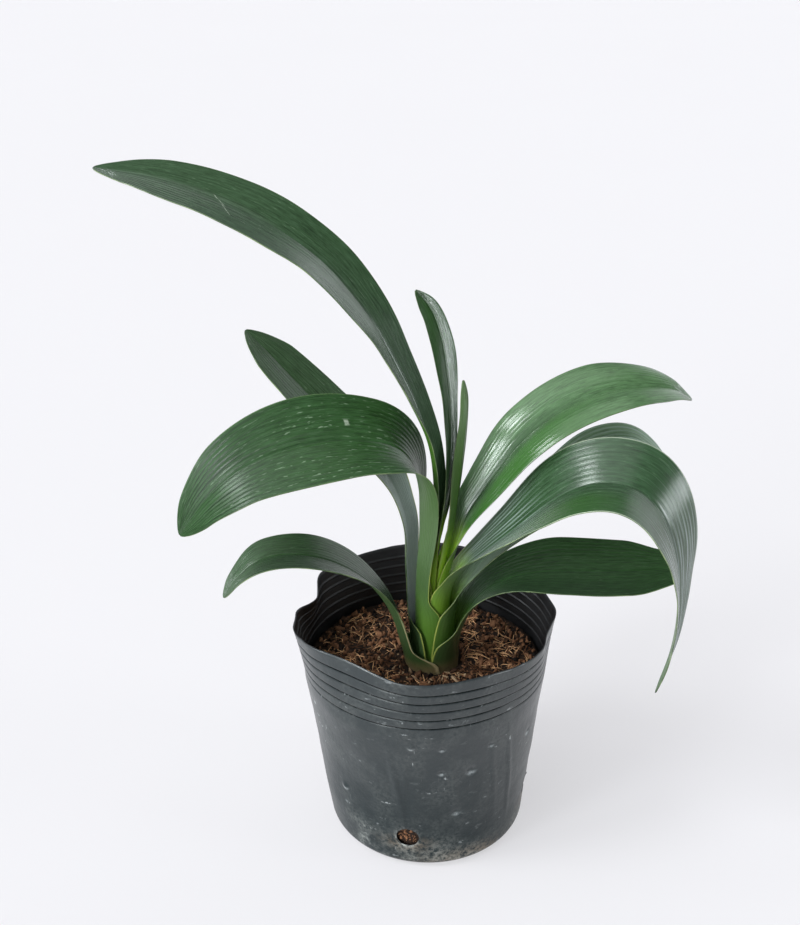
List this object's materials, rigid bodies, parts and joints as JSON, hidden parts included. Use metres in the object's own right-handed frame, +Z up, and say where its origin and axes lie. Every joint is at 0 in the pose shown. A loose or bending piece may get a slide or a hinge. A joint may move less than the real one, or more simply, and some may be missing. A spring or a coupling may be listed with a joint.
{
  "type": "potted clivia",
  "caption": "Young clivia with arching strap leaves in two ranks, growing in soil in a soft black round nursery pot.",
  "frame": {"origin": "middle of the pot's flat underside, on the surface that it stands on", "axes": "+Z up. The two ranks of leaves spread along X, and the front that the picture shows is -Y."},
  "size_m": [0.3527, 0.1561, 0.4174],
  "materials": {
    "pot_film": "satin black polyethylene film, dusty toward the base",
    "soil": "moist bark, peat and coir potting mix",
    "stem": "matte pale plant tissue",
    "leaf": "waxy, glossy deep green leaf"
  },
  "bodies": {
    "root": {"pot": "pot_film", "soil": "soil", "stem": "stem", "leaf_1": "leaf", "leaf_2": "leaf", "leaf_3": "leaf", "leaf_4": "leaf", "leaf_5": "leaf", "leaf_6": "leaf", "leaf_7": "leaf", "leaf_8": "leaf", "leaf_9": "leaf", "leaf_10": "leaf"}
  },
  "joints": []
}
